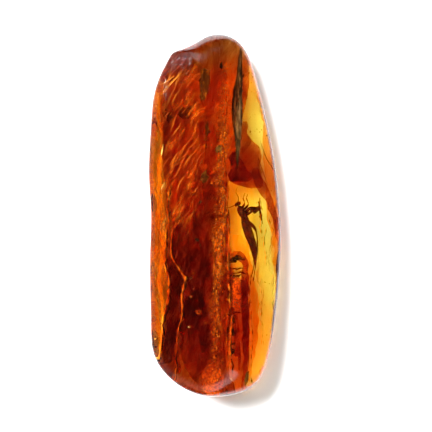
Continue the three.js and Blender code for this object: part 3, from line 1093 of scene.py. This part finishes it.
BODY_LINE = [
    (3.5, 1.95, INSECT_HIGH), (3.85, 1.1, INSECT_HIGH), (4.35, 0.0, INSECT_HIGH + 0.02),
    (4.8, -1.6, INSECT_HIGH), (5.25, -3.3, INSECT_HIGH - 0.01), (5.95, -5.2, INSECT_HIGH - 0.02),
    (6.5, -7.0, INSECT_HIGH - 0.03), (6.5, -8.6, INSECT_HIGH - 0.04),
]
BODY_SHAPE = [
    (0.0, 0.04, 0.04), (0.015, 0.24, 0.2), (0.05, 0.42, 0.34), (0.09, 0.36, 0.3),
    (0.115, 0.15, 0.15), (0.14, 0.36, 0.36), (0.19, 0.56, 0.56), (0.26, 0.62, 0.64),
    (0.32, 0.48, 0.5), (0.365, 0.24, 0.24), (0.42, 0.42, 0.36), (0.55, 0.52, 0.42),
    (0.7, 0.44, 0.36), (0.84, 0.32, 0.26), (0.94, 0.18, 0.15), (1.0, 0.04, 0.04),
]
BODY_RINGS = 120
BODY_WIDER = 1.15
BODY_HIGHER = 1.1
BELLY_FROM = 0.39
BELLY_RING = 0.085

bm = bmesh.new()
body_line = eased(BODY_LINE, BODY_RINGS)
wides, highs = [], []
for i in range(BODY_RINGS + 1):
    t = i / BODY_RINGS
    wide, high = along(BODY_SHAPE, t)
    if t > BELLY_FROM:
        plate = ((t - BELLY_FROM) / BELLY_RING) % 1.0
        wide *= 0.88 + 0.16 * plate**0.5
        high *= 0.88 + 0.16 * plate**0.5
    wides.append(BODY_WIDER * wide * MM)
    highs.append(BODY_HIGHER * high * MM)
swept(bm, [within(*p) for p in body_line], wides, highs, sides=20)
for across in (-1.0, 1.0):
    eye = bmesh.ops.create_icosphere(bm, subdivisions=4, radius=0.27 * MM)["verts"]
    bmesh.ops.scale(bm, verts=eye, vec=(0.75, 1.1, 1.0))
    bmesh.ops.translate(
        bm, verts=eye, vec=within(3.62 + 0.34 * across, 1.62 + 0.16 * across, INSECT_HIGH + 0.02)
    )

FEELER_BEADS = 13
for line in (
    [(3.45, 1.75, 0.6), (3.0, 1.35, 0.61), (2.2, 1.05, 0.62), (1.45, 1.05, 0.62)],
    [(3.65, 1.9, 0.6), (3.7, 2.7, 0.62), (3.35, 3.5, 0.63), (3.45, 4.2, 0.62)],
):
    steps = 4 * FEELER_BEADS
    taper = [1.0 - 0.55 * i / steps for i in range(steps + 1)]
    turns = [math.pi * FEELER_BEADS * i / steps for i in range(steps + 1)]
    beads = [0.6 + 0.4 * abs(math.sin(turn)) for turn in turns]
    thick = [0.085 * MM * a * b for a, b in zip(taper, beads)]
    swept(bm, [within(*p) for p in eased(line, steps)], thick, thick, sides=8)


def leg(bm, joints, thick):
    """One leg: thick thigh, thin shin, and a foot of five small joints. joints runs hip, knee,
    ankle, toe."""
    steps = 48
    sizes = []
    for i in range(steps + 1):
        t = i / steps
        if t < 1 / 3:
            size = 0.6 + 0.6 * math.sin(math.pi * t * 3) ** 0.8
        elif t < 2 / 3:
            size = 0.42 + 0.16 * (3 * t - 1)
        else:
            size = 0.3 + 0.12 * abs(math.sin(math.pi * 15 * (t - 2 / 3)))
        knee = max(0.0, 1.0 - abs(t - 1 / 3) * 22) + max(0.0, 1.0 - abs(t - 2 / 3) * 26)
        sizes.append((size + 0.22 * knee) * thick * MM * (1.0 if i < steps else 0.3))
    swept(bm, [within(*p) for p in eased(joints, steps)], sizes, sizes, sides=8)


for joints, thick in (
    ([(4.15, 0.7, 0.56), (4.75, 1.7, 0.58), (4.55, 2.6, 0.6), (4.85, 3.5, 0.6)], 0.18),
    ([(4.4, 0.5, 0.6), (5.35, 1.5, 0.64), (5.1, 2.6, 0.66), (5.3, 3.3, 0.66)], 0.18),
    ([(4.7, 0.1, 0.55), (6.0, 1.05, 0.6), (7.35, 0.6, 0.6), (7.75, -1.7, 0.58)], 0.24),
    ([(4.8, -0.3, 0.6), (5.9, 0.35, 0.66), (7.1, 1.0, 0.66), (7.3, 2.7, 0.64)], 0.22),
    ([(5.2, -1.1, 0.55), (6.7, -2.9, 0.56), (6.85, -6.4, 0.55), (6.2, -11.2, 0.55)], 0.25),
    ([(5.0, -1.4, 0.52), (5.5, -4.9, 0.52), (6.35, -8.0, 0.53), (5.85, -10.6, 0.53)], 0.22),
):
    leg(bm, joints, thick)
HAIRS = 90
HAIR_SIZES = [0.011 * MM, 0.008 * MM, 0.002 * MM]
chance = random.Random(17)
for _ in range(HAIRS):
    i = chance.randrange(16, 108)
    root = within(*body_line[i])
    around = chance.uniform(0.0, math.pi)
    out = Vector((math.cos(around) * wides[i], 0.0, math.sin(around) * highs[i]))
    tip = root + out * 1.45 + Vector((0.1, -0.22, 0.05)) * MM
    hair = [root + out * 0.9, (root + out * 1.3 + tip) / 2, tip]
    swept(bm, hair, HAIR_SIZES, HAIR_SIZES, sides=4)
seal_up(bm, "insect_body", chitin_mat)

# ---- the insect's wings
# Two smoky films, thinner than paper, with raised veins. They are hinged behind the head
# and folded back over the body.

WINGS = [
    ([(4.4, 0.6), (5.0, 0.1), (5.5, -0.9), (5.95, -2.2), (6.35, -3.6), (6.7, -5.1), (6.55, -5.7),
      (6.0, -4.6), (5.3, -2.9), (4.7, -0.8)], 0.65),
    ([(4.0, 0.3), (4.1, -1.0), (4.4, -2.6), (4.95, -4.2), (5.6, -5.3), (6.1, -5.2), (6.0, -4.0),
      (5.7, -2.2), (5.1, -0.7), (4.6, 0.3)], 0.54),
]
wing_mat, wing_tree, wing_shader, _ = new_material("smoky_wing")
smoke = mottling(wing_tree, 1500.0, 4.0)
fill(wing_tree, wing_shader, {
    "Base Color": blended(wing_tree, smoke, (0.03, 0.003, 0.001), (0.16, 0.016, 0.002)),
    "Roughness": 0.3,
    "IOR": SEALED_IOR,
    "Alpha": ranged(wing_tree, smoke, 0.3, 0.7, 0.9, 0.6),
    "Normal": raised(wing_tree, smoke, 0.4, 0.05 * MM),
})
bm = bmesh.new()
for number, (outline, share) in enumerate(WINGS):
    flake(bm, outline, share, thick=0.02, ruffle=0.06, seed=40.0 + number)
seal_up(bm, "insect_wings", wing_mat)
bm = bmesh.new()
for outline, share in WINGS:
    hinge = outline[0]
    for edge in outline[2:9]:
        bow = 0.12 * (edge[0] - hinge[0])
        line = [
            (hinge[0], hinge[1], share + 0.006),
            ((hinge[0] + edge[0]) / 2 + bow, (hinge[1] + edge[1]) / 2, share + 0.008),
            (edge[0], edge[1], share + 0.006),
        ]
        thick = [0.035 * MM * (1.0 - 0.06 * i) for i in range(11)]
        swept(bm, [within(*p) for p in eased(line, 10)], thick, thick, sides=6)
seal_up(bm, "insect_wing_veins", chitin_mat)

# ---- the scraps by the insect
# Torn brown film caught against the insect: across its side legs, upright beside them, and
# one along its tail. They are the same film as the stacked layers.

SCRAPS = [
    ([(5.2, 0.9), (5.9, 1.2), (6.5, 1.05), (7.3, 1.35), (7.6, 0.9), (7.0, 0.4), (6.4, -0.05),
      (5.8, 0.45)], 0.58, 0.2, 71.0),
    ([(7.0, 2.1), (7.3, 1.9), (7.45, 0.9), (7.65, -0.4), (7.55, -1.2), (7.25, -0.5),
      (7.15, 0.9)], 0.5, -0.2, 73.0),
    ([(6.3, -3.6), (6.75, -4.6), (6.9, -6.4), (6.8, -7.9), (6.4, -7.4), (6.2, -5.4)],
     0.5, 0.2, 79.0),
]
bm = bmesh.new()
for outline, share, tilt, seed in SCRAPS:
    flake(bm, outline, share, thick=0.04, tilt=tilt, ruffle=0.3, seed=seed)
seal_up(bm, "insect_scraps", layer_mat)

# ---- the table, the light and the camera
# A plain white table top. A soft lamp stands high on the left, towards the head, and isn't
# mirrored in the polish. The room is bright past both ends and dark overhead. The camera looks
# straight down through a long lens.

FLOOR_HALF = 1.5
FLOOR_GAP = 0.04 * MM
bm = bmesh.new()
bmesh.ops.create_grid(bm, x_segments=1, y_segments=1, size=FLOOR_HALF)
bmesh.ops.translate(bm, verts=bm.verts, vec=(0.0, 0.0, -FLOOR_GAP))
floor = finished(bm, "table_top", smooth=False)
floor_mat, _, floor_shader, _ = new_material("white_table")
fill(floor_mat.node_tree, floor_shader, {
    "Base Color": (0.9, 0.9, 0.9, 1.0),
    "Roughness": 0.9,
    "Specular IOR Level": 0.1,
})
floor.data.materials.append(floor_mat)

world = bpy.data.worlds.new("soft_room")
bpy.context.scene.world = world
world.use_nodes = True
wt = world.node_tree
back = wt.nodes["Background"]
DARK_SKY = 0.02
BRIGHT_SKY = 3.0


def worked(operation, first, second=0.0):
    """One sum on the sky's pattern."""
    return step(wt, "Math", {0: first, 1: second}, operation).outputs[0]


# Bright past both ends, less so low down at the foot and towards the left.
where = wt.nodes.new("ShaderNodeTexCoord").outputs["Generated"]
toward = step(wt, "SeparateXYZ", {"Vector": where}).outputs
off_middle = worked("ABSOLUTE", worked("SUBTRACT", toward["Y"], 0.03))
ends = ranged(wt, off_middle, 0.26, 0.38, soft=True)
low_cut = ranged(wt, toward["Y"], -0.2, 0.2, -0.17, 0.0)
high = ranged(wt, worked("ADD", toward["Z"], low_cut), 0.42, 0.6, soft=True)
headward = ranged(wt, toward["Y"], -0.3, 0.3, soft=True)
lean = ranged(wt, headward, low=0.85, high=0.75)
sideways = ranged(wt, toward["X"], -0.3, 0.0, 0.25, 1.0)
upper = ends
for part in (high, lean, sideways):
    upper = worked("MULTIPLY", upper, part)
# A faint glow from the left, and a brighter band near the table, strongest on the left.
leftward = worked("MULTIPLY", toward["X"], -1.0)
left_glow = worked("MULTIPLY", ranged(wt, leftward, 0.47, 0.6, soft=True), 0.15)
height = worked("ADD", toward["Z"], worked("MULTIPLY", off_middle, 0.14))
near_table = ranged(wt, worked("MULTIPLY", height, -1.0), -0.26, -0.16, soft=True)
low_light = ranged(wt, toward["X"], -0.3, 0.3, 0.4, 0.1)
horizon = worked("MULTIPLY", near_table, low_light)
lit = worked("MAXIMUM", worked("MAXIMUM", upper, left_glow), horizon)
wt.links.new(ranged(wt, lit, low=DARK_SKY, high=BRIGHT_SKY), back.inputs["Strength"])
back.inputs["Color"].default_value = (1.0, 1.0, 1.0, 1.0)

LAMP_SIZE = 0.22
LAMP_POWER = 14.0
LAMP_SPOT = Vector((-0.38, 0.32, 0.87)) * 0.6
key = bpy.data.lights.new("softbox_left", "AREA")
key.shape = "SQUARE"
key.size = LAMP_SIZE
key.energy = LAMP_POWER
key_obj = bpy.data.objects.new("softbox_left", key)
key_obj.location = LAMP_SPOT
key_obj.rotation_euler = (-LAMP_SPOT).to_track_quat("-Z", "Y").to_euler()
key_obj.visible_glossy = False
bpy.context.scene.collection.objects.link(key_obj)

LENS = 135.0
CAMERA_SPOT = (0.0001, -0.00027, 0.2762)
camera_data = bpy.data.cameras.new("camera")
camera_data.lens = LENS
camera_data.sensor_width = 36.0
camera = bpy.data.objects.new("camera", camera_data)
camera.location = CAMERA_SPOT
bpy.context.scene.collection.objects.link(camera)
bpy.context.scene.camera = camera

scene = bpy.context.scene
scene.view_settings.view_transform = "Standard"
scene.cycles.max_bounces = 32
scene.cycles.transmission_bounces = 32
scene.cycles.glossy_bounces = 8
scene.cycles.diffuse_bounces = 4
scene.cycles.transparent_max_bounces = 32
